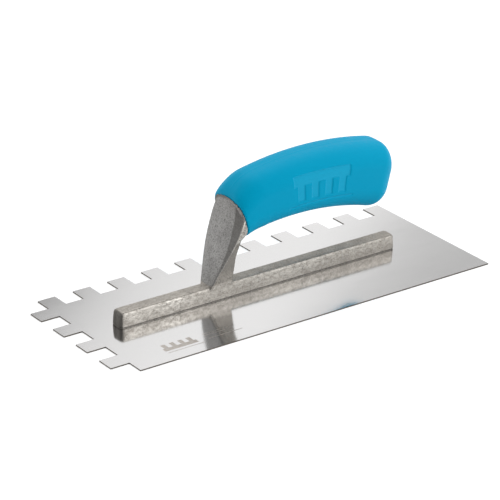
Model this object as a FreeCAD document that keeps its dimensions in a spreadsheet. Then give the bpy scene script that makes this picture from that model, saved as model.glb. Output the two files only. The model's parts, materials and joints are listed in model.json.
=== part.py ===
import FreeCAD, Part
import math
import os
from collections import namedtuple

import Sketcher
from FreeCAD import Placement, Rotation, Vector

# Notched trowel. +X runs along the blade from its notched short end, +Y points to its notched
# long edge and +Z points up. The origin is the middle of the sole, the face that combs the mortar.
# Lengths are in millimetres and angles in degrees.

DIMENSIONS = {
    "blade_length": 279.4,
    "blade_width": 113.0,
    "blade_thickness": 0.8,
    "notch_pitch": 25.4,
    "notch_width": 13.0,
    "edge_notch_depth": 12.7,
    "end_notch_depth": 13.0,
    "edge_notch_count": 11,
    "end_notch_count": 5,
    "spar_length": 211.2,
    "spar_middle": -1.1,
    "spar_width": 11.2,
    "spar_height": 10.2,
    "spar_draft": 3.0,
    "spar_end_radius": 3.0,
    "spar_shoulder_radius": 2.4,
    "rivet_count": 7,
    "rivet_pitch": 31.0,
    "rivet_radius": 2.0,
    "rivet_head_radius": 3.2,
    "rivet_depth": 6.0,
    "shank_foot_x": -41.6,
    "shank_foot_height": 9.8,
    "shank_lean": 15.2,
    "spoon_crown_share": 0.1,
    "spoon_strip_slope": 0.85,
    "spoon_back_inset": 0.3,
    "spoon_edge_depth": 0.5,
    "web_thickness": 10.6,
    "web_foot_length": 16.8,
    "neck_x": -24.6,
    "neck_height": 33.0,
    "neck_half_length": 4.6,
    "mouth_x": -22.0,
    "mouth_height": 53.7,
    "mouth_tilt": 16.5,
    "mouth_half_width": 16.4,
    "mouth_half_height": 13.0,
    "mouth_gap": 0.3,
    "head_inset": 0.5,
    "grip_crest_x": 30.8,
    "grip_crest_height": 64.8,
    "grip_bend_radius": 215.0,
    "grip_front_half_width": 17.0,
    "grip_front_half_height": 18.0,
    "grip_rear_half_width": 17.8,
    "grip_rear_half_height": 21.3,
    "grip_wall": 3.0,
    "section_corner_share": 0.8,
    "nose_angle": -9.6,
    "tail_angle": 13.8,
    "tail_depth": 12.5,
    "tail_droop": 3.4,
    "bond_gap": 0.1,
    "tang_length": 68.0,
    "tang_sink": 3.0,
    "tang_tilt": 8.0,
    "tang_root_radius": 6.5,
    "tang_tip_radius": 4.5,
}

# The shank's front spreads like a spoon. From foot to mouth: height above the sole, half width,
# and the share of that half width that the chamfer takes.
SPOON = [
    (8.8, 5.6, 0.10),
    (15.0, 7.5, 0.11),
    (22.0, 9.8, 0.13),
    (30.0, 12.4, 0.16),
    (38.0, 14.5, 0.20),
    (47.0, 15.8, 0.25),
    (55.0, 15.7, 0.27),
    (61.0, 13.8, 0.27),
    (66.5, 8.3, 0.26),
]

# The handle's nose grows with the sine of a quarter turn to this power, while this share of its
# climb stays even.
NOSE_STEPS = 5
NOSE_GROWTH = 1.5
NOSE_EVEN_CLIMB = 0.35

# The tail's dome: its slices in degrees of a quarter turn, and a power below 1 that keeps it full.
TAIL_TURNS = (0, 12, 27, 43, 58, 72, 83)
TAIL_FULLNESS = 0.78

# A slice across the handle: where its middle is, how far its face is tilted up, and its half
# sizes. Each of the five is a formula of the sheet's cells.
Slice = namedtuple("Slice", "x height tilt half_width half_height")

doc = FreeCAD.newDocument("notched_trowel")
sheet = doc.addObject("Spreadsheet::Sheet", "Sizes")


def fill_sheet():
    """Write each driving dimension to the sheet, with its name as the cell's alias."""
    for row, (name, value) in enumerate(DIMENSIONS.items(), start=1):
        sheet.set(f"A{row}", name)
        sheet.set(f"B{row}", str(value))
        sheet.setAlias(f"B{row}", name)
    doc.recompute()


def value_of(formula):
    """The number that a formula of the sheet's cells gives."""
    return float(sheet.evalExpression(formula))


# ---- Sketches ----


def new_body(name):
    body = doc.addObject("PartDesign::Body", name)
    body.Label = name
    return body


def origin_item(body, role):
    """One of the body's own planes or axes."""
    return next(item for item in body.Origin.OriginFeatures if item.Role == role)


def attach(item, body, role="XY_Plane", base=("0", "0", "0"), turn=Rotation()):
    """Attach a sketch or a solid to the body's own plane, its offset bound to three formulas."""
    item.AttachmentSupport = [(origin_item(body, role), "")]
    item.MapMode = "FlatFace"
    item.AttachmentOffset = Placement(Vector(*(value_of(formula) for formula in base)), turn)
    for direction, formula in zip("xyz", base):
        item.setExpression(f"AttachmentOffset.Base.{direction}", formula)


def new_sketch(body, name, role="XY_Plane", base=("0", "0", "0"), turn=Rotation()):
    sketch = body.newObject("Sketcher::SketchObject", name)
    attach(sketch, body, role, base, turn)
    return sketch


def bind(sketch, kind, *where, formula):
    """Add a dimension to the sketch and bind it to a formula."""
    index = sketch.addConstraint(Sketcher.Constraint(kind, *where, value_of(formula)))
    sketch.setExpression(f"Constraints[{index}]", formula)


def outline(sketch, corners, first_side=None):
    """A closed outline whose corners stand at pairs of formulas.

    The sides are straight, but the first one is the given curve if there is one.
    """
    points = [Vector(value_of(across), value_of(up)) for across, up in corners]
    sides = [Part.LineSegment(start, end) for start, end in zip(points, points[1:] + points[:1])]
    if first_side:
        sides[0] = first_side
    for side in sides:
        sketch.addGeometry(side)
    for number, (across, up) in enumerate(corners):
        following = (number + 1) % len(corners)
        sketch.addConstraint(Sketcher.Constraint("Coincident", number, 2, following, 1))
        bind(sketch, "DistanceX", -1, 1, number, 1, formula=across)
        bind(sketch, "DistanceY", -1, 1, number, 1, formula=up)


def rectangle(sketch, left, low, right, high):
    """A rectangle whose four sides stand at formulas."""
    outline(sketch, [(left, low), (right, low), (right, high), (left, high)])


def round_rectangle(sketch, half_width, half_height):
    """A rectangle about the sketch's origin with large round corners."""
    across = value_of(half_width)
    up = value_of(half_height)
    narrow = f"min({half_width}; {half_height})"
    corner = value_of(f"{narrow} * Sizes.section_corner_share")
    quarter = math.pi / 2
    centres = [
        Vector(across - corner, up - corner),
        Vector(corner - across, up - corner),
        Vector(corner - across, corner - up),
        Vector(across - corner, corner - up),
    ]
    for turn, centre in enumerate(centres):
        circle = Part.Circle(centre, Vector(0, 0, 1), corner)
        sketch.addGeometry(Part.ArcOfCircle(circle, turn * quarter, (turn + 1) * quarter))
        swing = Vector(math.cos((turn + 1) * quarter), math.sin((turn + 1) * quarter)) * corner
        sketch.addGeometry(Part.LineSegment(centre + swing, centres[(turn + 1) % 4] + swing))
    for piece in range(8):
        sketch.addConstraint(Sketcher.Constraint("Tangent", piece, 2, (piece + 1) % 8, 1))
    top, left, low, right = 1, 3, 5, 7
    for side in (top, low):
        sketch.addConstraint(Sketcher.Constraint("Horizontal", side))
    for side in (left, right):
        sketch.addConstraint(Sketcher.Constraint("Vertical", side))
    sketch.addConstraint(Sketcher.Constraint("Equal", 0, 6))
    sketch.addConstraint(Sketcher.Constraint("Symmetric", top, 2, low, 1, -1))
    sketch.addConstraint(Sketcher.Constraint("Symmetric", left, 1, right, 2, -2))
    bind(sketch, "Radius", 0, formula=f"{narrow} * Sizes.section_corner_share")
    bind(sketch, "DistanceX", -1, 1, right, 1, formula=half_width)
    bind(sketch, "DistanceY", -1, 1, top, 1, formula=half_height)


# ---- Features ----


def add_pad(body, sketch, name, length):
    feature = body.newObject("PartDesign::Pad", name)
    feature.Profile = sketch
    feature.setExpression("Length", length)
    return feature


def cut_through(body, sketch, name):
    """A pocket right through the body, both ways from its sketch."""
    doc.recompute()
    feature = body.newObject("PartDesign::Pocket", name)
    feature.Profile = sketch
    feature.Type = "ThroughAll"
    feature.Midplane = True
    return feature


def add_loft(body, kind, name, sections):
    """A smooth skin over sections. The kind is Additive or Subtractive."""
    doc.recompute()
    feature = body.newObject(f"PartDesign::{kind}Loft", name)
    feature.Profile = (sections[0], [""])
    feature.Sections = [(section, [""]) for section in sections[1:]]
    doc.recompute()
    return feature


def add_cone(body, kind, name, radii, length, base=("0", "0", "0"), turn=Rotation()):
    """A round bar or hole with a foot and a tip radius. The kind is Additive or Subtractive."""
    feature = body.newObject(f"PartDesign::{kind}Cone", name)
    attach(feature, body, base=base, turn=turn)
    for prop, formula in zip(("Radius1", "Radius2", "Height"), (*radii, length)):
        feature.setExpression(prop, formula)
    return feature


def add_cylinder(body, kind, name, radius, length, base):
    feature = body.newObject(f"PartDesign::{kind}Cylinder", name)
    attach(feature, body, base=base)
    feature.setExpression("Radius", radius)
    feature.setExpression("Height", length)
    return feature


def add_row(body, feature, name, role, pitch, count, reverse=False):
    """Repeat a feature in a straight row along one of the body's own axes."""
    row = body.newObject("PartDesign::LinearPattern", name)
    row.Originals = [feature]
    row.Direction = (origin_item(body, role), [""])
    row.Reversed = reverse
    row.setExpression("Length", f"{pitch} * ({count} - 1)")
    row.setExpression("Occurrences", count)
    body.Tip = row


def round_edges(body, base, name, test, radius):
    """Round the base feature's edges whose pair of end points passes the test."""
    doc.recompute()
    edges = []
    for number, edge in enumerate(base.Shape.Edges, start=1):
        if test(edge.Vertexes[0].Point, edge.Vertexes[-1].Point):
            edges.append(f"Edge{number}")
    feature = body.newObject("PartDesign::Fillet", name)
    feature.Base = (base, edges)
    feature.setExpression("Radius", radius)
    doc.recompute()
    return feature


# ---- Blade and rivets ----


def rivet_x(number):
    """The formula for where a rivet stands on the spar, counted from 0."""
    return f"(Sizes.spar_middle + Sizes.rivet_pitch * ({number} - (Sizes.rivet_count - 1) / 2))"


def make_blade():
    """Thin plate. Both rows of notches start or end on a corner, so those notches open both ways."""
    body = new_body("blade")
    left = "-Sizes.blade_length / 2"
    far_root = "Sizes.blade_width / 2 - Sizes.edge_notch_depth"

    half_width = "Sizes.blade_width / 2"
    plate = new_sketch(body, "blade_outline")
    rectangle(plate, left, f"-{half_width}", "Sizes.blade_length / 2", half_width)
    add_pad(body, plate, "blade_plate", "Sizes.blade_thickness")

    edge_notch = new_sketch(body, "edge_notch_outline")
    rectangle(edge_notch, left, far_root, f"{left} + Sizes.notch_width", "Sizes.blade_width")
    cut = cut_through(body, edge_notch, "edge_notch")
    add_row(body, cut, "edge_notches", "X_Axis", "Sizes.notch_pitch", "Sizes.edge_notch_count")

    end_notch = new_sketch(body, "end_notch_outline")
    end_root = f"{left} + Sizes.end_notch_depth"
    rectangle(end_notch, "-Sizes.blade_length", far_root, end_root, f"{far_root} + Sizes.notch_width")
    cut = cut_through(body, end_notch, "end_notch")
    count = "Sizes.end_notch_count"
    add_row(body, cut, "end_notches", "Y_Axis", "Sizes.notch_pitch", count, reverse=True)

    hole = add_cone(
        body,
        "Subtractive",
        "rivet_countersink",
        ("Sizes.rivet_head_radius", "Sizes.rivet_radius"),
        "Sizes.blade_thickness",
        (rivet_x(0), "0", "0"),
    )
    add_row(body, hole, "rivet_countersinks", "X_Axis", "Sizes.rivet_pitch", "Sizes.rivet_count")


def make_rivet(number):
    """A countersunk rivet, modelled on its own axis and placed under the spar."""
    body = new_body(f"blade_rivet_{number + 1}")
    add_cone(
        body,
        "Additive",
        f"rivet_{number + 1}_head",
        ("Sizes.rivet_head_radius", "Sizes.rivet_radius"),
        "Sizes.blade_thickness",
    )
    add_cylinder(
        body,
        "Additive",
        f"rivet_{number + 1}_stem",
        "Sizes.rivet_radius",
        "Sizes.rivet_depth",
        ("0", "0", "Sizes.blade_thickness"),
    )
    body.setExpression("Placement.Base.x", rivet_x(number))


# ---- Mounting: spar, shank and tang ----


def make_mounting():
    """One casting: the spar on the blade, the shank and the tang that the handle is driven onto."""
    body = new_body("mounting")
    add_spar(body)
    sections = [spoon_section(body, number, *station) for number, station in enumerate(SPOON)]
    add_loft(body, "Additive", "shank_spoon", sections)
    add_web(body)
    add_head(body)
    add_cone(
        body,
        "Additive",
        "tang",
        ("Sizes.tang_root_radius", "Sizes.tang_tip_radius"),
        "Sizes.tang_length",
        *tang_place(),
    )
    hole = add_cylinder(
        body,
        "Subtractive",
        "rivet_hole",
        "Sizes.rivet_radius",
        "Sizes.rivet_depth",
        (rivet_x(0), "0", "Sizes.blade_thickness"),
    )
    add_row(body, hole, "rivet_holes", "X_Axis", "Sizes.rivet_pitch", "Sizes.rivet_count")


def add_spar(body):
    """The bar that lies on the blade: drafted sides, round ends and soft top edges."""
    sketch = new_sketch(body, "spar_outline", base=("0", "0", "Sizes.blade_thickness"))
    rectangle(
        sketch,
        "Sizes.spar_middle - Sizes.spar_length / 2",
        "-Sizes.spar_width / 2",
        "Sizes.spar_middle + Sizes.spar_length / 2",
        "Sizes.spar_width / 2",
    )
    bar = add_pad(body, sketch, "spar_bar", "Sizes.spar_height")
    bar.setExpression("TaperAngle", "-Sizes.spar_draft")
    half_way = value_of("Sizes.blade_thickness + Sizes.spar_height / 2")

    def upright(start, end):
        return min(start.z, end.z) < half_way < max(start.z, end.z)

    def on_top(start, end):
        return min(start.z, end.z) > half_way

    ends = round_edges(body, bar, "spar_ends", upright, "Sizes.spar_end_radius")
    round_edges(body, ends, "spar_shoulders", on_top, "Sizes.spar_shoulder_radius")


def spoon_section(body, number, height, half_width, chamfer_share):
    """A level slice of the shank's front: crowned face, two chamfers, slanted strips, flat back."""
    front = f"(Sizes.shank_foot_x + ({height} - Sizes.shank_foot_height) * tan(Sizes.shank_lean))"
    face_edge = f"({front} + {half_width} * Sizes.spoon_crown_share)"
    face_half_width = f"({half_width} * (1 - {chamfer_share}))"
    side = f"({face_edge} + {half_width} * {chamfer_share})"
    back_half_width = "(Sizes.web_thickness / 2 - Sizes.spoon_back_inset)"
    slant = f"({half_width} - {back_half_width}) * Sizes.spoon_strip_slope"
    back = f"({side} + Sizes.spoon_edge_depth + {slant})"
    crown = f"({half_width} * Sizes.spoon_crown_share)"
    face_radius = f"({face_half_width} ^ 2 + {crown} ^ 2) / (2 * {crown})"

    sketch = new_sketch(body, f"spoon_section_{number}", base=("0", "0", str(height)))
    low = Vector(value_of(face_edge), -value_of(face_half_width))
    high = Vector(value_of(face_edge), value_of(face_half_width))
    face = Part.Arc(high, Vector(value_of(front), 0), low)
    corners = [
        (face_edge, face_half_width),
        (face_edge, f"-{face_half_width}"),
        (side, f"-{half_width}"),
        (back, f"-{back_half_width}"),
        (back, back_half_width),
        (side, str(half_width)),
    ]
    outline(sketch, corners, first_side=face)
    bind(sketch, "Radius", 0, formula=face_radius)
    return sketch


def add_web(body):
    """The upright plate behind the spoon, flush with the spar's sides."""
    web = new_sketch(body, "web_outline", "XZ_Plane")
    outline(web, [
        ("Sizes.shank_foot_x + 2.4", "Sizes.shank_foot_height - 2"),
        ("Sizes.shank_foot_x + Sizes.web_foot_length", "Sizes.shank_foot_height - 2"),
        ("Sizes.shank_foot_x + Sizes.web_foot_length + 3", "Sizes.shank_foot_height + 17"),
        ("Sizes.mouth_x + 3.2", "Sizes.mouth_height - 19.4"),
        ("Sizes.mouth_x + 6", "Sizes.mouth_height - 12.4"),
        ("Sizes.mouth_x + 2", "Sizes.mouth_height + 2"),
        ("Sizes.mouth_x - 6", "Sizes.mouth_height - 6"),
    ])
    plate = add_pad(body, web, "shank_web", "Sizes.web_thickness")
    plate.Midplane = True


def add_head(body):
    """The neck that widens to the handle's mouth, trimmed flat where the handle begins."""
    neck = new_sketch(body, "neck_section", base=("Sizes.neck_x", "0", "Sizes.neck_height"))
    round_rectangle(neck, "Sizes.neck_half_length", "Sizes.web_thickness / 2")
    head = handle_section(body, "head_section", mouth_slice("0"), "Sizes.head_inset")
    add_loft(body, "Additive", "shank_head", [neck, head])

    turn = Rotation(Vector(0, 0, 1), value_of("Sizes.mouth_tilt"))
    mouth = ("Sizes.mouth_x", "Sizes.mouth_height", "0")
    trim = new_sketch(body, "mouth_trim_outline", "XZ_Plane", mouth, turn)
    reach = "Sizes.mouth_height / 2"
    rectangle(trim, "0", f"-{reach}", reach, reach)
    cut_through(body, trim, "mouth_trim")


def tang_place():
    """Where the tang's foot stands, sunk into the head, and how it is turned."""
    tilt = math.radians(value_of("Sizes.tang_tilt"))
    along = Vector(math.cos(tilt), 0, math.sin(tilt))
    foot = (
        "Sizes.mouth_x - Sizes.tang_sink * cos(Sizes.tang_tilt)",
        "0",
        "Sizes.mouth_height - Sizes.tang_sink * sin(Sizes.tang_tilt)",
    )
    return foot, Rotation(Vector(0, 0, 1), along)


# ---- Handle: core and grip ----


def mouth_slice(gap):
    """The slice where shank and handle meet, moved along the handle by a gap."""
    return Slice(
        f"Sizes.mouth_x + {gap}",
        "Sizes.mouth_height",
        "Sizes.mouth_tilt",
        "Sizes.mouth_half_width",
        "Sizes.mouth_half_height",
    )


def bend_slice(angle, forward="0", along="0", share="1", droop="0"):
    """A slice at an angle along the handle's bend, moved straight on by forward and down by droop.

    Its size runs from the front size to the rear size with along, from 0 to 1, times share.
    """
    front_width = "Sizes.grip_front_half_width"
    front_height = "Sizes.grip_front_half_height"
    drop = f"Sizes.grip_bend_radius * (1 - cos({angle}))"
    return Slice(
        f"Sizes.grip_crest_x + Sizes.grip_bend_radius * sin({angle}) + {forward} * cos({angle})",
        f"Sizes.grip_crest_height - {drop} - {forward} * sin({angle}) - {droop}",
        f"-({angle})",
        f"({front_width} + (Sizes.grip_rear_half_width - {front_width}) * {along}) * {share}",
        f"({front_height} + (Sizes.grip_rear_half_height - {front_height}) * {along}) * {share}",
    )


def nose_slices():
    """The swelling just behind the mouth, which grows steeply at first and then levels out.

    Its middle line joins the bend's without a corner, so part of its climb is even.
    """
    start = mouth_slice("Sizes.mouth_gap")
    end = bend_slice("Sizes.nose_angle")
    slices = []
    for step in range(NOSE_STEPS + 1):
        turn = math.radians(90 * step / NOSE_STEPS)
        advance = 1 - math.cos(turn)
        growth = math.sin(turn) ** NOSE_GROWTH
        climb = NOSE_EVEN_CLIMB * advance + (1 - NOSE_EVEN_CLIMB) * growth
        shares = (advance, climb, advance, growth, growth)
        blended = [f"({a}) + (({b}) - ({a})) * {share:.4f}" for a, b, share in zip(start, end, shares)]
        slices.append(Slice(*blended))
    return slices


def middle_slices():
    """The bent middle, which swells evenly towards the tail."""
    steps = 4
    sweep = "(Sizes.tail_angle - Sizes.nose_angle)"
    slices = []
    for step in range(steps + 1):
        along = f"{step / steps:.2f}"
        slices.append(bend_slice(f"(Sizes.nose_angle + {sweep} * {along})", along=along))
    return slices


def tail_slices(depth):
    """The domed tail, which droops a little and ends in a small flat."""
    slices = []
    for degrees in TAIL_TURNS:
        turn = math.radians(degrees)
        forward = f"({depth}) * {math.sin(turn):.4f}"
        share = f"{math.cos(turn) ** TAIL_FULLNESS:.4f}"
        droop = f"Sizes.tail_droop * {1 - math.cos(turn):.4f}"
        slices.append(bend_slice("Sizes.tail_angle", forward, "1", share, droop))
    return slices


def handle_section(body, name, cut, inset):
    """A sketch of one slice of the handle, drawn inset from the skin."""
    turn = Rotation(Vector(1, 0, 0), -value_of(cut.tilt))
    sketch = new_sketch(body, name, "YZ_Plane", ("0", cut.height, cut.x), turn)
    round_rectangle(sketch, f"{cut.half_width} - {inset}", f"{cut.half_height} - {inset}")
    return sketch


def handle_lofts(body, kind, prefix, inset):
    """Nose, middle and tail as three lofts that share their end slices."""
    tail = tail_slices(f"Sizes.tail_depth - {inset}")
    for stretch, slices in (("nose", nose_slices()), ("middle", middle_slices()), ("tail", tail)):
        sections = []
        for number, cut in enumerate(slices):
            sections.append(handle_section(body, f"{prefix}_{stretch}_section_{number}", cut, inset))
        add_loft(body, kind, f"{prefix}_{stretch}", sections)


def make_grip():
    """Soft shell over the core, open at the mouth."""
    body = new_body("grip")
    handle_lofts(body, "Additive", "skin", "0")
    handle_lofts(body, "Subtractive", "cavity", "Sizes.grip_wall")


def make_core():
    """Rigid core that fills the grip, with a tapered socket for the tang."""
    body = new_body("handle_core")
    handle_lofts(body, "Additive", "core", "(Sizes.grip_wall + Sizes.bond_gap)")
    add_cone(
        body,
        "Subtractive",
        "tang_socket",
        ("Sizes.tang_root_radius + Sizes.bond_gap", "Sizes.tang_tip_radius + Sizes.bond_gap"),
        "Sizes.tang_length + 1",
        *tang_place(),
    )


# ---- Build ----


def check_and_write():
    """Stop on any failed object or bad solid, then write one STEP file for each piece."""
    doc.recompute()
    for item in doc.Objects:
        if "Invalid" in item.State or "Error" in item.State:
            raise RuntimeError(f"{item.Name} failed: {item.State}")
    bodies = [item for item in doc.Objects if item.TypeId == "PartDesign::Body"]
    for body in bodies:
        if body.Shape.isNull() or not body.Shape.isValid():
            raise RuntimeError(f"{body.Label} has no valid shape")
        if len(body.Shape.Solids) != 1:
            raise RuntimeError(f"{body.Label} is not one solid")
    os.makedirs("parts", exist_ok=True)
    for body in bodies:
        print(f"{body.Label}: {body.Shape.Volume / 1000:.2f} cm3")
        body.Shape.exportStep(f"parts/{body.Label}.step")


fill_sheet()
make_blade()
make_mounting()
make_grip()
make_core()
for rivet in range(int(value_of("Sizes.rivet_count"))):
    make_rivet(rivet)
check_and_write()
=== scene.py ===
import json
import math

import bpy
from mathutils import Matrix, Vector, noise
from mathutils.bvhtree import BVHTree

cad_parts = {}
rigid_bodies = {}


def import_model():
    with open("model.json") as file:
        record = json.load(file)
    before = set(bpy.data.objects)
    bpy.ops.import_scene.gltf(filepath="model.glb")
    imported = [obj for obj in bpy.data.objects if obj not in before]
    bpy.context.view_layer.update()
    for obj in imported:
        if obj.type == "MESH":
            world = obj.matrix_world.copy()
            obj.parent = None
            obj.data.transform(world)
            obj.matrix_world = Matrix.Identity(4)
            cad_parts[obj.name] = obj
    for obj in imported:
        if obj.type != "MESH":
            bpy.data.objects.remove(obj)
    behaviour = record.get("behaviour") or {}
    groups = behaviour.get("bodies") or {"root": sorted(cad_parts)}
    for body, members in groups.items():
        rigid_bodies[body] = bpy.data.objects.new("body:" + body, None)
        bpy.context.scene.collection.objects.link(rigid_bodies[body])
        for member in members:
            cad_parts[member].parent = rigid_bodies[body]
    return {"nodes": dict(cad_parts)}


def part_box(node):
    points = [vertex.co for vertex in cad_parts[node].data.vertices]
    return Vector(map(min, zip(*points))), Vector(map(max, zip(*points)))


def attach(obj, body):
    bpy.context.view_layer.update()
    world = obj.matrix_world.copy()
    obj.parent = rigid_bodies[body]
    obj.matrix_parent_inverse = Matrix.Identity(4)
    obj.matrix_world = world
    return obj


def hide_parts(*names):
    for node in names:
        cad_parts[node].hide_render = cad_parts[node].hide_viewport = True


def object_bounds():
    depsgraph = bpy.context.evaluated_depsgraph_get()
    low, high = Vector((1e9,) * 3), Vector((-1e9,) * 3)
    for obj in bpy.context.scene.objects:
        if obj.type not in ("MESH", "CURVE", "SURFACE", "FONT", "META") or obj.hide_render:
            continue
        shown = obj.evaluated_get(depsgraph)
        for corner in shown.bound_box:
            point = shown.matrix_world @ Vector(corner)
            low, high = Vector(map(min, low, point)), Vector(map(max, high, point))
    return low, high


# The notched trowel's looks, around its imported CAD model. Lengths are in metres. +X runs along
# the blade, +Y points to its notched long edge and +Z points up from the sole.

MM = 0.001

# Camera, placed as the photograph was taken. Lens and sensor are in millimetres.
AZIMUTH = math.radians(-36.46)
ELEVATION = math.radians(24.25)
ROLL = math.radians(0.95)
DISTANCE = 1.6238
AIM_RIGHT = -6.15 * MM
AIM_UP = -16.3 * MM
LENS = 189.5
SENSOR = 36.0

# Studio: every lamp's distance from the origin, and the floor's half size and gap below the sole.
LAMP_DISTANCE = 1.8
FLOOR_SIZE = 6.0
FLOOR_GAP = 0.05 * MM

# World: how far its tones lean from upright, the tones across the screen and around it, the
# screen's soft edge, and the dimming around the camera. Each stop is a place and a brightness.
WORLD_STRENGTH = 1.1
SCREEN_LEAN = 0.65
SCREEN_TONES = (
    (0.2, 0.85),
    (0.4, 0.6),
    (0.45, 0.3),
    (0.47, 0.9),
    (0.5, 0.97),
    (0.53, 1.06),
    (0.548, 1.04),
    (0.558, 0.7),
    (0.6, 0.53),
    (0.8, 0.85),
)
AROUND_TONES = ((0.2, 0.85), (0.4, 0.6), (0.6, 0.53), (0.8, 0.85))
SCREEN_EDGE = ((0.9, 0.0), (0.965, 1.0))
CAMERA_DIM = ((0.5, 1.0), (0.9, 0.15))

# Handle's bend: an arc in the middle plane, through the crest.
CREST_X = 30.8 * MM
CREST_HEIGHT = 64.8 * MM
BEND_RADIUS = 215 * MM

# Casting. SPAR_HEIGHT and LOWEST_MOUTH are heights over the blade. CAST_MASKS are the attributes
# that its material reads.
CAST_VOXEL = 0.4 * MM
CAST_ROUNDING = 2
CAST_RELIEF = 0.07 * MM
RELIEF_SCALE = 450
FINE_RELIEF_SCALE = 1300
SPAR_HEIGHT = 10.2 * MM
SEAM_Y = -4.4 * MM
SEAM_WIDTH = 0.5 * MM
SEAM_HEIGHT = 0.2 * MM
GROOVE_SIDES = (0.2 * MM, 0.9 * MM)
GROOVE_SOFT = 0.6 * MM
END_GROOVE = 0.3 * MM
FOOT_GAP = 0.6 * MM
MOUTH_GAP = 0.4 * MM
LOWEST_MOUTH = 50 * MM
CAST_MASKS = ("wear_and_painted_light", "blasted", "dark")

# Where each of the casting's fades starts and ends. The end's painted shade and the painted light
# along the spar run towards the spar's notched end, the mouth away from the grip, the foot down to
# the blade and the others up from it.
END_FADE = (-3.4 * MM, -2.2 * MM)
TIP_LIGHT_FADE = (-90 * MM, 70 * MM)
FOOT_FADE = (-0.8 * MM, -0.4 * MM)
MOUTH_FADE = (1.0 * MM, 1.8 * MM)
SPAR_FADE = (SPAR_HEIGHT + 0.5 * MM, SPAR_HEIGHT + 1.5 * MM)
SHOULDER = (SPAR_HEIGHT - 5.5 * MM, SPAR_HEIGHT - 0.6 * MM)
SHOULDER_SOFT = 2.5 * MM
WEB_FADE = (10.5 * MM, 12.5 * MM)
WEB_CLIMB = (14 * MM, 22 * MM)
CHAMFER_CLIMB = (18 * MM, 40 * MM)
THROAT_FADE = (34 * MM, 38 * MM)
CROWN_FADE = (44 * MM, 56 * MM)

# Grip, and the comb pressed into its sides: its ends along the bend, and the heights of its spine,
# its teeth and the rule under it over the bend. Nearer the middle plane than MARK_SIDE, nothing is
# pressed.
GRIP_VOXEL = 0.4 * MM
GRIP_ROUNDING = 10
MOULD_LINE = 0.12 * MM
MOULD_SIDES = (-0.35 * MM, 0.35 * MM)
MOULD_SOFT = 0.5 * MM
MARK_START = -17 * MM
MARK_END = 25 * MM
MARK_TEETH = 4
MARK_SPINE = (4 * MM, 11 * MM)
MARK_TOOTH = (-6 * MM, 5 * MM)
MARK_RULE = (-9.6 * MM, -8.6 * MM)
MARK_OVERHANG = 4 * MM
MARK_DEPTH = 0.6 * MM
MARK_EDGE = 0.5 * MM
MARK_SIDE = 14.6 * MM

# Comb etched on the blade's top: its corner nearest the camera, its teeth, how far its spine and
# teeth reach, and the height that lies inside the sheet. Each fine rule says, in millimetres from
# that corner, its two sides across the blade and its two ends along it.
ETCH_X = -101 * MM
ETCH_Y = -45 * MM
ETCH_PITCH = 6 * MM
ETCH_TEETH = 4
ETCH_SPINE = 3.6 * MM
ETCH_REACH = 8.4 * MM
ETCH_SOFT = 0.12 * MM
INSIDE_SHEET = 0.4 * MM
ETCH_RULES = (
    (-2.6, -2.0, 0, 27),
    (6.8, 7.3, 31, 50),
    (4.6, 5.1, 31, 46),
    (0.2, 0.8, 31, 56),
)


def camera_axes():
    """The picture's right and up, and the direction from the object back to the camera."""
    back = Vector((
        math.sin(AZIMUTH) * math.cos(ELEVATION),
        -math.cos(AZIMUTH) * math.cos(ELEVATION),
        math.sin(ELEVATION),
    ))
    level = Vector((0, 0, 1)).cross(back).normalized()
    turn = Matrix.Rotation(ROLL, 3, back)
    right = turn @ level
    return right, back.cross(right), back


# ---- Node helpers ----


def new_material(name):
    """A node material, with its tree and its main shader."""
    material = bpy.data.materials.new(name)
    material.use_nodes = True
    tree = material.node_tree
    return material, tree, tree.nodes["Principled BSDF"]


def put(tree, kind, inputs=None, **settings):
    """Add a node. An input's value is a number, a colour or another node's output."""
    node = tree.nodes.new(kind)
    for name, value in settings.items():
        setattr(node, name, value)
    for key, value in (inputs or {}).items():
        if isinstance(value, bpy.types.NodeSocket):
            tree.links.new(value, node.inputs[key])
        else:
            node.inputs[key].default_value = value
    return node


def math_node(tree, operation, first, second=0.0):
    return put(tree, "ShaderNodeMath", {0: first, 1: second}, operation=operation).outputs[0]


def place(tree):
    """The surface point in the object's own frame, in metres."""
    return put(tree, "ShaderNodeTexCoord").outputs["Object"]


def noise_field(tree, scale, detail=3.0, roughness=0.55, stretch=None):
    """Noise from 0 to 1. Scale is in features per metre, and stretch multiplies it by axis."""
    point = place(tree)
    if stretch:
        point = put(tree, "ShaderNodeMapping", {"Vector": point, "Scale": stretch}).outputs[0]
    inputs = {"Vector": point, "Scale": scale, "Detail": detail, "Roughness": roughness}
    return put(tree, "ShaderNodeTexNoise", inputs).outputs["Fac"]


def ramp(tree, factor, *stops):
    """A colour ramp. Each stop is a place from 0 to 1 and a grey value or a colour."""
    node = put(tree, "ShaderNodeValToRGB", {"Fac": factor})
    elements = node.color_ramp.elements
    while len(elements) < len(stops):
        elements.new(0.5)
    for element, (position, colour) in zip(elements, stops):
        element.position = position
        grey = isinstance(colour, (int, float))
        element.color = (colour, colour, colour, 1) if grey else (*colour, 1)
    return node.outputs["Color"]


def mix(tree, factor, first, second, blend="MIX"):
    """The first colour blended with the second by a factor from 0 to 1."""
    node = put(tree, "ShaderNodeMix", data_type="RGBA", blend_type=blend)
    sockets = (node.inputs[0], node.inputs[6], node.inputs[7])
    for socket, value in zip(sockets, (factor, first, second)):
        if isinstance(value, bpy.types.NodeSocket):
            tree.links.new(value, socket)
        elif socket.type == "RGBA":
            socket.default_value = (*value, 1)
        else:
            socket.default_value = value
    return node.outputs[2]


def bump(tree, height, distance, normal=None):
    """A bump of that height in metres, over an earlier normal if there is one."""
    inputs = {"Height": height, "Distance": distance, "Strength": 1.0}
    if normal:
        inputs["Normal"] = normal
    return put(tree, "ShaderNodeBump", inputs).outputs["Normal"]


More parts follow.
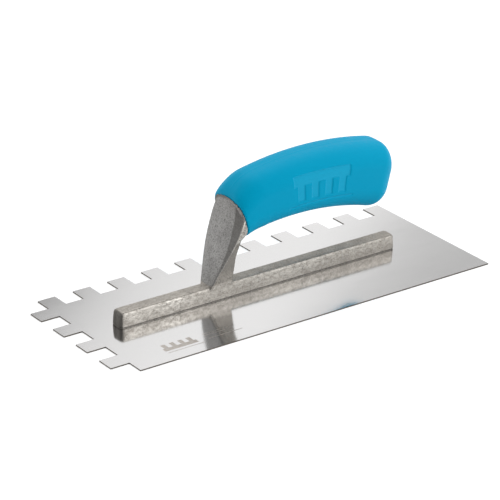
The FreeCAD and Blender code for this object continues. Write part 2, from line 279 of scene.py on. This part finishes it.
def band(tree, value, low, high, soft):
    """1 where the value lies between low and high, 0 outside, with soft edges."""
    inputs = {"Value": value, "From Min": low - soft, "From Max": low + soft}
    rise = put(tree, "ShaderNodeMapRange", inputs).outputs[0]
    inputs = {"Value": value, "From Min": high + soft, "From Max": high - soft}
    fall = put(tree, "ShaderNodeMapRange", inputs).outputs[0]
    return math_node(tree, "MULTIPLY", rise, fall)


# ---- Materials ----


def etched_mark(tree):
    """1 on the plain comb and the fine rules etched near the blade's notched end."""
    axes = put(tree, "ShaderNodeSeparateXYZ", {"Vector": place(tree)}).outputs
    along = math_node(tree, "SUBTRACT", axes["X"], ETCH_X)
    across = math_node(tree, "SUBTRACT", axes["Y"], ETCH_Y)
    length = band(tree, along, 0, ETCH_PITCH * ETCH_TEETH, ETCH_SOFT)
    spine = math_node(tree, "MULTIPLY", length, band(tree, across, 0, ETCH_SPINE, ETCH_SOFT))
    step = math_node(tree, "PINGPONG", along, ETCH_PITCH / 2)
    tooth = math_node(
        tree,
        "MULTIPLY",
        band(tree, step, ETCH_PITCH / 4, ETCH_PITCH, ETCH_SOFT),
        band(tree, across, ETCH_SPINE, ETCH_REACH, ETCH_SOFT),
    )
    mark = math_node(tree, "MAXIMUM", spine, math_node(tree, "MULTIPLY", tooth, length))
    for low, high, start, end in ETCH_RULES:
        rule = math_node(
            tree,
            "MULTIPLY",
            band(tree, across, low * MM, high * MM, ETCH_SOFT),
            band(tree, along, start * MM, end * MM, ETCH_SOFT),
        )
        mark = math_node(tree, "MAXIMUM", mark, rule)
    top_only = math_node(tree, "GREATER_THAN", axes["Z"], INSIDE_SHEET)
    # The etch is worn away in patches.
    weighting = ramp(tree, noise_field(tree, 900, 4), (0.35, 0.55), (0.6, 1.0))
    return math_node(tree, "MULTIPLY", math_node(tree, "MULTIPLY", mark, top_only), weighting)


def facing_sideways(tree):
    """1 on the plate's thin edges and 0 on its two faces."""
    normal = put(tree, "ShaderNodeTexCoord").outputs["Normal"]
    upward = put(tree, "ShaderNodeSeparateXYZ", {"Vector": normal}).outputs["Z"]
    return math_node(tree, "LESS_THAN", math_node(tree, "ABSOLUTE", upward), 0.5)


def blade_steel():
    """Bright stainless steel, finely ground along the blade, with dull sheared edges."""
    material, tree, shader = new_material("blade_steel")
    grain = noise_field(tree, 60, 5, 0.7, stretch=(1, 60, 60))
    clouds = noise_field(tree, 14, 3, 0.5, stretch=(0.6, 1.6, 1))
    edge = facing_sideways(tree)
    etch = etched_mark(tree)

    steel = mix(tree, clouds, (0.715, 0.708, 0.705), (0.79, 0.783, 0.78))
    streaks = ramp(tree, grain, (0.3, 0.93), (0.7, 1.0))
    steel = mix(tree, 1.0, steel, streaks, "MULTIPLY")
    steel = mix(tree, math_node(tree, "MULTIPLY", etch, 0.6), steel, (0.52, 0.43, 0.34))
    sheared = mix(tree, noise_field(tree, 700, 3), (0.06, 0.052, 0.045), (0.2, 0.175, 0.15))
    colour = mix(tree, edge, steel, sheared)
    tree.links.new(colour, shader.inputs["Base Color"])

    uneven = math_node(tree, "MULTIPLY", math_node(tree, "ADD", grain, clouds), 0.5)
    polish = ramp(tree, uneven, (0.3, 0.07), (0.7, 0.14))
    rough = math_node(tree, "ADD", polish, math_node(tree, "MULTIPLY", edge, 0.4))
    rough = math_node(tree, "ADD", rough, math_node(tree, "MULTIPLY", etch, 0.3))
    tree.links.new(rough, shader.inputs["Roughness"])
    normal = bump(tree, grain, 0.004 * MM)
    normal = bump(tree, clouds, 0.02 * MM, normal)
    tree.links.new(normal, shader.inputs["Normal"])
    shader.inputs["Metallic"].default_value = 1.0
    return material


def cast_aluminium():
    """Warm, grainy and pitted aluminium, greyer where blasted, bright where rubbed and where light
    is painted, dark along its seam and where shade is painted.
    """
    material, tree, shader = new_material("cast_aluminium")
    blotches = noise_field(tree, 120, 4, 0.6)
    grain = noise_field(tree, 1100, 3, 0.7)
    pits = noise_field(tree, 650, 2, 0.5)
    wear_and_painted_light, blasted, dark = (
        put(tree, "ShaderNodeAttribute", attribute_name=name).outputs["Fac"]
        for name in CAST_MASKS
    )
    warm = ramp(tree, blotches, (0.3, (0.30, 0.277, 0.247)), (0.7, (0.42, 0.39, 0.35)))
    grey = ramp(tree, blotches, (0.3, (0.325, 0.318, 0.31)), (0.7, (0.435, 0.428, 0.417)))
    base = mix(tree, blasted, warm, grey)
    fleck = ramp(tree, grain, (0.32, 0.5), (0.5, 0.92), (0.64, 1.0))
    base = mix(tree, 1.0, base, fleck, "MULTIPLY")
    pit = ramp(tree, pits, (0.28, 1.0), (0.36, 0.0))
    base = mix(tree, math_node(tree, "MULTIPLY", pit, 0.6), base, (0.09, 0.085, 0.08))
    # Painted shade, with the seam's own dark line, from the dark mask.
    base = mix(tree, math_node(tree, "MULTIPLY", dark, 0.8), base, (0.13, 0.125, 0.115))
    patches = noise_field(tree, 700, 6, 0.8, stretch=(0.5, 1, 1))
    patchy = ramp(tree, patches, (0.40, 0.0), (0.60, 1.0))
    worked = ramp(tree, noise_field(tree, 38, 2, 0.5), (0.38, 0.5), (0.62, 1.0))
    # Bright where rubbed, and where light is painted on the spar's sides, towards its notched end
    # and on the head's shaded throat.
    bright = math_node(tree, "MULTIPLY", wear_and_painted_light, math_node(tree, "MULTIPLY", patchy, worked))
    colour = mix(tree, bright, base, (0.74, 0.71, 0.66))
    tree.links.new(colour, shader.inputs["Base Color"])

    rough = ramp(tree, grain, (0.3, 0.62), (0.7, 0.48))
    rough = math_node(tree, "SUBTRACT", rough, math_node(tree, "MULTIPLY", bright, 0.14))
    tree.links.new(rough, shader.inputs["Roughness"])
    normal = bump(tree, grain, 0.10 * MM)
    normal = bump(tree, pits, 0.12 * MM, normal)
    tree.links.new(normal, shader.inputs["Normal"])
    shader.inputs["Metallic"].default_value = 0.75
    return material


def soft_rubber():
    """Matte moulded rubber with a fine bloom and slightly uneven gloss."""
    material, tree, shader = new_material("soft_grip")
    clouds = noise_field(tree, 40, 3, 0.5)
    bloom = noise_field(tree, 260, 3, 0.6)
    dust = noise_field(tree, 1500, 2, 0.6)
    pressed = put(tree, "ShaderNodeAttribute", attribute_name="pressed").outputs["Fac"]
    colour = mix(tree, clouds, (0.0, 0.31, 0.515), (0.0, 0.335, 0.55))
    colour = mix(tree, math_node(tree, "MULTIPLY", bloom, 0.08), colour, (0.02, 0.40, 0.60))
    colour = mix(tree, math_node(tree, "MULTIPLY", pressed, 0.35), colour, (0.03, 0.43, 0.66))
    tree.links.new(colour, shader.inputs["Base Color"])
    rough = ramp(tree, bloom, (0.3, 0.50), (0.7, 0.60))
    tree.links.new(rough, shader.inputs["Roughness"])
    normal = bump(tree, dust, 0.02 * MM)
    normal = bump(tree, clouds, 0.15 * MM, normal)
    tree.links.new(normal, shader.inputs["Normal"])
    shader.inputs["Specular IOR Level"].default_value = 0.2
    shader.inputs["Specular Tint"].default_value = (0.0, 0.55, 0.9, 1)
    return material


def core_plastic():
    """Black moulded plastic with a faint flow pattern. The grip hides all of it but its end."""
    material, tree, shader = new_material("core_plastic")
    flow = noise_field(tree, 90, 3, 0.5, stretch=(0.4, 1, 1))
    colour = mix(tree, flow, (0.02, 0.02, 0.022), (0.045, 0.045, 0.048))
    tree.links.new(colour, shader.inputs["Base Color"])
    tree.links.new(ramp(tree, flow, (0.3, 0.42), (0.7, 0.58)), shader.inputs["Roughness"])
    normal = bump(tree, noise_field(tree, 900, 2), 0.03 * MM)
    tree.links.new(normal, shader.inputs["Normal"])
    return material


def rivet_steel():
    """Rivet heads ground flush with the sole: fine scratches along the blade, a little duller."""
    material, tree, shader = new_material("rivet_steel")
    scratches = noise_field(tree, 90, 4, 0.7, stretch=(1, 25, 25))
    colour = mix(tree, scratches, (0.42, 0.41, 0.40), (0.6, 0.59, 0.58))
    tree.links.new(colour, shader.inputs["Base Color"])
    tree.links.new(ramp(tree, scratches, (0.3, 0.2), (0.7, 0.36)), shader.inputs["Roughness"])
    tree.links.new(bump(tree, scratches, 0.01 * MM), shader.inputs["Normal"])
    shader.inputs["Metallic"].default_value = 1.0
    return material


def dress(obj, material):
    """Give the object that material only."""
    obj.data.materials.clear()
    obj.data.materials.append(material)


# ---- Pieces ----


def remeshed(node, name, voxel, rounding):
    """A copy of a CAD node as an even, closed mesh with softened edges."""
    piece = bpy.data.objects.new(name, frame["nodes"][node].data.copy())
    bpy.context.scene.collection.objects.link(piece)
    even = piece.modifiers.new("even", "REMESH")
    even.mode = "VOXEL"
    even.voxel_size = voxel
    soften = piece.modifiers.new("soften", "SMOOTH")
    soften.factor = 0.5
    soften.iterations = rounding
    graph = bpy.context.evaluated_depsgraph_get()
    mesh = bpy.data.meshes.new_from_object(piece.evaluated_get(graph))
    piece.modifiers.clear()
    piece.data = mesh
    for polygon in mesh.polygons:
        polygon.use_smooth = True
    return piece


def surface_of(node):
    """A CAD node's surface, to ask how near a point is."""
    mesh = frame["nodes"][node].data
    corners = [vertex.co.copy() for vertex in mesh.vertices]
    return BVHTree.FromPolygons(corners, [list(polygon.vertices) for polygon in mesh.polygons])


def fade(value, low, high):
    """0 below low, 1 above high, and smooth between."""
    share = min(max((value - low) / (high - low), 0.0), 1.0)
    return share * share * (3 - 2 * share)


def inside(value, low, high, soft):
    """1 between low and high and 0 outside, with edges as wide as soft."""
    rise = fade(value, low - soft / 2, low + soft / 2)
    fall = 1 - fade(value, high - soft / 2, high + soft / 2)
    return rise * fall


def on_spar(height):
    """1 up to the spar's top and 0 above it."""
    return 1 - fade(height, *SPAR_FADE)


def spar_marks(point, normal, height, tip):
    """On the spar: how rubbed and brightened with painted light it is, then its end darkened with
    painted shade, its parting seam and its shaded foot.

    Height is over the blade, and tip is the x of the spar's notched end. A number beside a part of
    the normal says how squarely the surface has to face that way.
    """
    sideways = abs(normal.y)
    # Painted shade darkens the spar's end face, which is turned away from the light.
    end = fade(tip - point.x, *END_FADE) * fade(-normal.x, 0.3, 0.65)
    body = on_spar(height) * (1 - end)
    shoulder = inside(height, *SHOULDER, SHOULDER_SOFT)
    # Painted light: the spar brightens towards its notched end.
    weighting = fade(-point.x, *TIP_LIGHT_FADE)
    # Sideways faces, most of all the band under the spar's top, are brightened partly as wear and
    # partly as painted light.
    flank = fade(sideways, 0.2, 0.6) * (0.35 + 0.3 * shoulder + 0.25 * weighting)
    wear_and_painted_light = body * max(flank * (0.7 + 0.4 * weighting), 0.3 * weighting)
    seam = inside(point.y, SEAM_Y, SEAM_Y + SEAM_WIDTH, SEAM_WIDTH) * fade(normal.z, 0.1, 0.4)
    foot = fade(-height, *FOOT_FADE) * fade(-abs(normal.z), -0.8, -0.3)
    return wear_and_painted_light, end, seam * body, foot


def shank_marks(normal, height, to_grip):
    """On the shank: how far it faces forward, the painted light on its shaded throat, its mouth's
    gap and its painted shade.

    The throat is the underside of the head, and to_grip is the distance to the grip. The numbers
    beside the normal are as in spar_marks.
    """
    sideways = abs(normal.y)
    forward = fade(-normal.x, 0.25, 0.5) * (1 - on_spar(height))
    # Painted light on the head's underside, which faces down into shade.
    throat_light = fade(-normal.z, 0.15, 0.3) * fade(height, *THROAT_FADE)
    gap = forward * (1 - fade(to_grip, *MOUTH_FADE)) * fade(normal.y, -0.3, 0.1)
    # Painted shade: the chamfers, the pad's far edge, the upper web and the crown are darkened, and
    # so is the mouth's gap, which is also cut in as a groove.
    chamfer = fade(-normal.x, 0.48, 0.6) * fade(sideways, 0.35, 0.55) * fade(normal.z, -0.25, -0.05)
    chamfer *= forward * (0.55 + 0.3 * fade(height, *CHAMFER_CLIMB))
    far_edge = 0.35 * forward * fade(normal.y, 0.1, 0.35)
    web = fade(height, *WEB_FADE) * fade(sideways, 0.9, 0.97)
    web *= 0.4 + 0.45 * fade(height, *WEB_CLIMB)
    crown = 0.2 * forward * fade(height, *CROWN_FADE)
    return forward, throat_light, gap, max(chamfer, far_edge, web, crown, gap)


def make_casting(material):
    """The mounting as a casting: soft edges, uneven skin, a parting seam, shoulders brightened
    partly by wear and partly with painted light, and painted shade.
    """
    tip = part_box("mounting")[0].x
    blade_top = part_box("blade")[1].z
    grip = surface_of("grip")
    casting = remeshed("mounting", "casting", CAST_VOXEL, CAST_ROUNDING)
    mesh = casting.data
    masks = [mesh.attributes.new(name, "FLOAT", "POINT").data for name in CAST_MASKS]
    normals = [vertex.normal.copy() for vertex in mesh.vertices]
    for vertex, normal in zip(mesh.vertices, normals):
        point = vertex.co.copy()
        height = point.z - blade_top
        to_grip = grip.find_nearest(point)[3] if height > LOWEST_MOUTH else math.inf
        wear_and_painted_light, end, seam, foot = spar_marks(point, normal, height, tip)
        forward, throat_light, gap, shade = shank_marks(normal, height, to_grip)
        # Painted light brightens the head's shaded underside.
        wear_and_painted_light = max(wear_and_painted_light, 1.6 * throat_light) * (1 - seam) * (1 - foot)
        blasted = forward * (1 - throat_light)
        # Painted shade on the spar's end and foot, the chamfers, the web, the crown and the mouth's
        # gap, with the seam's own dark line.
        dark = max(shade, end, 0.6 * seam, 1.2 * foot)
        for mask, value in zip(masks, (wear_and_painted_light, blasted, dark)):
            mask[vertex.index].value = value

        relief = noise.noise(point * RELIEF_SCALE) + 0.6 * noise.noise(point * FINE_RELIEF_SCALE)
        groove = end * inside(point.y, *GROOVE_SIDES, GROOVE_SOFT)
        cut = END_GROOVE * groove + FOOT_GAP * foot + MOUTH_GAP * gap
        vertex.co = point + normal * (CAST_RELIEF * relief + SEAM_HEIGHT * seam - cut)
    mesh.update()
    dress(casting, material)
    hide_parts("mounting")
    return casting


def along_bend(point):
    """Where a point lies along the handle's bend, from the crest, and how high above it."""
    centre = Vector((CREST_X, CREST_HEIGHT - BEND_RADIUS))
    arm = Vector((point.x, point.z)) - centre
    return BEND_RADIUS * math.atan2(arm.x, arm.y), arm.length - BEND_RADIUS


def grip_mark(along, up):
    """How deep the generic comb mark is at a place on the grip's side, from 0 to 1."""
    length = inside(along, MARK_START, MARK_END, MARK_EDGE)
    spine = length * inside(up, *MARK_SPINE, MARK_EDGE)
    pitch = (MARK_END - MARK_START) / MARK_TEETH
    step = (along - MARK_START) % pitch
    tooth = length * inside(step, pitch * 0.25, pitch * 0.75, MARK_EDGE)
    tooth *= inside(up, *MARK_TOOTH, MARK_EDGE)
    rule = inside(along, MARK_START - MARK_OVERHANG, MARK_END + MARK_OVERHANG, MARK_EDGE)
    rule *= inside(up, *MARK_RULE, MARK_EDGE)
    return max(spine, tooth, 0.8 * rule)


def make_soft_grip(material):
    """The grip, with a faint mould line on its top and underside and a comb pressed in each side."""
    grip = remeshed("grip", "soft_grip", GRIP_VOXEL, GRIP_ROUNDING)
    mesh = grip.data
    pressed = mesh.attributes.new("pressed", "FLOAT", "POINT")
    normals = [vertex.normal.copy() for vertex in mesh.vertices]
    for vertex, normal in zip(mesh.vertices, normals):
        along, up = along_bend(vertex.co)
        outward = normal.y * math.copysign(1, vertex.co.y)
        depth = MARK_DEPTH * grip_mark(along, up) * fade(outward, 0.2, 0.5)
        if abs(vertex.co.y) < MARK_SIDE:
            depth = 0.0
        pressed.data[vertex.index].value = depth / MARK_DEPTH
        line = inside(vertex.co.y, *MOULD_SIDES, MOULD_SOFT) * fade(abs(normal.z), 0.5, 0.9)
        vertex.co = vertex.co - normal * (depth - MOULD_LINE * line)
    mesh.update()
    dress(grip, material)
    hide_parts("grip")
    return grip


# ---- Studio ----


def make_floor(level):
    """A plain pale floor, clear from below so that the sole can be looked at."""
    mesh = bpy.data.meshes.new("floor")
    signs = ((-1, -1), (1, -1), (1, 1), (-1, 1))
    corners = [(x * FLOOR_SIZE, y * FLOOR_SIZE, level) for x, y in signs]
    mesh.from_pydata(corners, [], [(0, 1, 2, 3)])
    floor = bpy.data.objects.new("floor", mesh)
    bpy.context.scene.collection.objects.link(floor)
    material, tree, shader = new_material("pale_floor")
    shader.inputs["Base Color"].default_value = (0.8, 0.8, 0.8, 1)
    shader.inputs["Roughness"].default_value = 0.9
    shader.inputs["Emission Color"].default_value = (1, 1, 1, 1)
    shader.inputs["Emission Strength"].default_value = 0.3
    below = put(tree, "ShaderNodeNewGeometry").outputs["Backfacing"]
    clear = put(tree, "ShaderNodeBsdfTransparent")
    choice = put(tree, "ShaderNodeMixShader", {0: below, 1: shader.outputs[0], 2: clear.outputs[0]})
    tree.links.new(choice.outputs[0], tree.nodes["Material Output"].inputs["Surface"])
    floor.data.materials.append(material)


def make_world(right, back):
    """A pale studio, dimmer around the camera, with a bright screen that the blade mirrors to it."""
    world = bpy.data.worlds.new("studio")
    bpy.context.scene.world = world
    world.use_nodes = True
    tree = world.node_tree
    mirrored = Vector((-back.x, -back.y, back.z))
    climb = mirrored.cross(right).normalized() * -1
    lean = right + SCREEN_LEAN * climb
    direction = put(tree, "ShaderNodeTexCoord").outputs["Generated"]
    across = put(tree, "ShaderNodeVectorMath", {0: direction, 1: lean}, operation="DOT_PRODUCT")
    share = math_node(tree, "ADD", across.outputs["Value"], 0.5)
    screen = ramp(tree, share, *SCREEN_TONES)
    around = ramp(tree, share, *AROUND_TONES)
    behind = put(tree, "ShaderNodeVectorMath", {0: direction, 1: mirrored}, operation="DOT_PRODUCT")
    on_screen = ramp(tree, behind.outputs["Value"], *SCREEN_EDGE)
    light = mix(tree, on_screen, around, screen)
    toward = put(tree, "ShaderNodeVectorMath", {0: direction, 1: back}, operation="DOT_PRODUCT")
    dim = ramp(tree, toward.outputs["Value"], *CAMERA_DIM)
    light = mix(tree, 1.0, light, dim, "MULTIPLY")
    background = tree.nodes["Background"]
    tree.links.new(light, background.inputs["Color"])
    background.inputs["Strength"].default_value = WORLD_STRENGTH


def gather(name, objects):
    """A collection of those objects, for light linking."""
    collection = bpy.data.collections.new(name)
    for obj in objects:
        collection.objects.link(obj)
    return collection


def add_softbox(name, azimuth, elevation, size, energy, lit, shading=()):
    """A square soft light that faces the origin and falls on the lit objects only.

    Only the shading objects block it, if any are given. The angles are in degrees.
    """
    lamp = bpy.data.lights.new(name, "AREA")
    lamp.shape = "SQUARE"
    lamp.size = size
    lamp.energy = energy
    light = bpy.data.objects.new(name, lamp)
    bpy.context.scene.collection.objects.link(light)
    turn = math.radians(azimuth)
    rise = math.radians(elevation)
    level = math.cos(rise)
    outward = Vector((math.sin(turn) * level, -math.cos(turn) * level, math.sin(rise)))
    light.location = outward * LAMP_DISTANCE
    light.rotation_euler = outward.to_track_quat("Z", "Y").to_euler()
    light.light_linking.receiver_collection = gather(f"{name}_lit", lit)
    if shading:
        light.light_linking.blocker_collection = gather(f"{name}_shading", shading)


def add_camera(centre, right, up, back):
    """The photograph's camera, aimed beside the object's centre."""
    data = bpy.data.cameras.new("camera")
    data.lens = LENS
    data.sensor_width = SENSOR
    data.clip_start = 0.05
    data.clip_end = 50
    camera = bpy.data.objects.new("camera", data)
    bpy.context.scene.collection.objects.link(camera)
    aim = centre + AIM_RIGHT * right + AIM_UP * up
    turn = Matrix((right, up, back)).transposed().to_4x4()
    camera.matrix_world = Matrix.Translation(aim + DISTANCE * back) @ turn
    bpy.context.scene.camera = camera


# ---- Build ----

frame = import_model()
cad_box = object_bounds()

dress(frame["nodes"]["blade"], blade_steel())
dress(frame["nodes"]["handle_core"], core_plastic())
rivet_finish = rivet_steel()
for node, obj in frame["nodes"].items():
    if node.startswith("blade_rivet"):
        dress(obj, rivet_finish)

casting = make_casting(cast_aluminium())
soft_grip = make_soft_grip(soft_rubber())
for piece, slot in ((casting, "cast_aluminium"), (soft_grip, "soft_grip")):
    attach(piece, "root")

right, up, back = camera_axes()
add_camera((cad_box[0] + cad_box[1]) / 2, right, up, back)
make_world(right, back)
make_floor(cad_box[0].z - FLOOR_GAP)
# The lamps skip the blade, which would flash white. The bounce stands for the light it throws back.
all_but_blade = [obj for obj in bpy.context.scene.objects if obj != frame["nodes"]["blade"]]
add_softbox("key", azimuth=32, elevation=32, size=1.1, energy=9.5, lit=all_but_blade)
add_softbox("top", azimuth=150, elevation=70, size=1.3, energy=10, lit=all_but_blade)
add_softbox(
    "bounce", azimuth=10, elevation=-30, size=1.0, energy=13, lit=[casting], shading=[casting]
)
bpy.context.scene.view_settings.view_transform = "Standard"
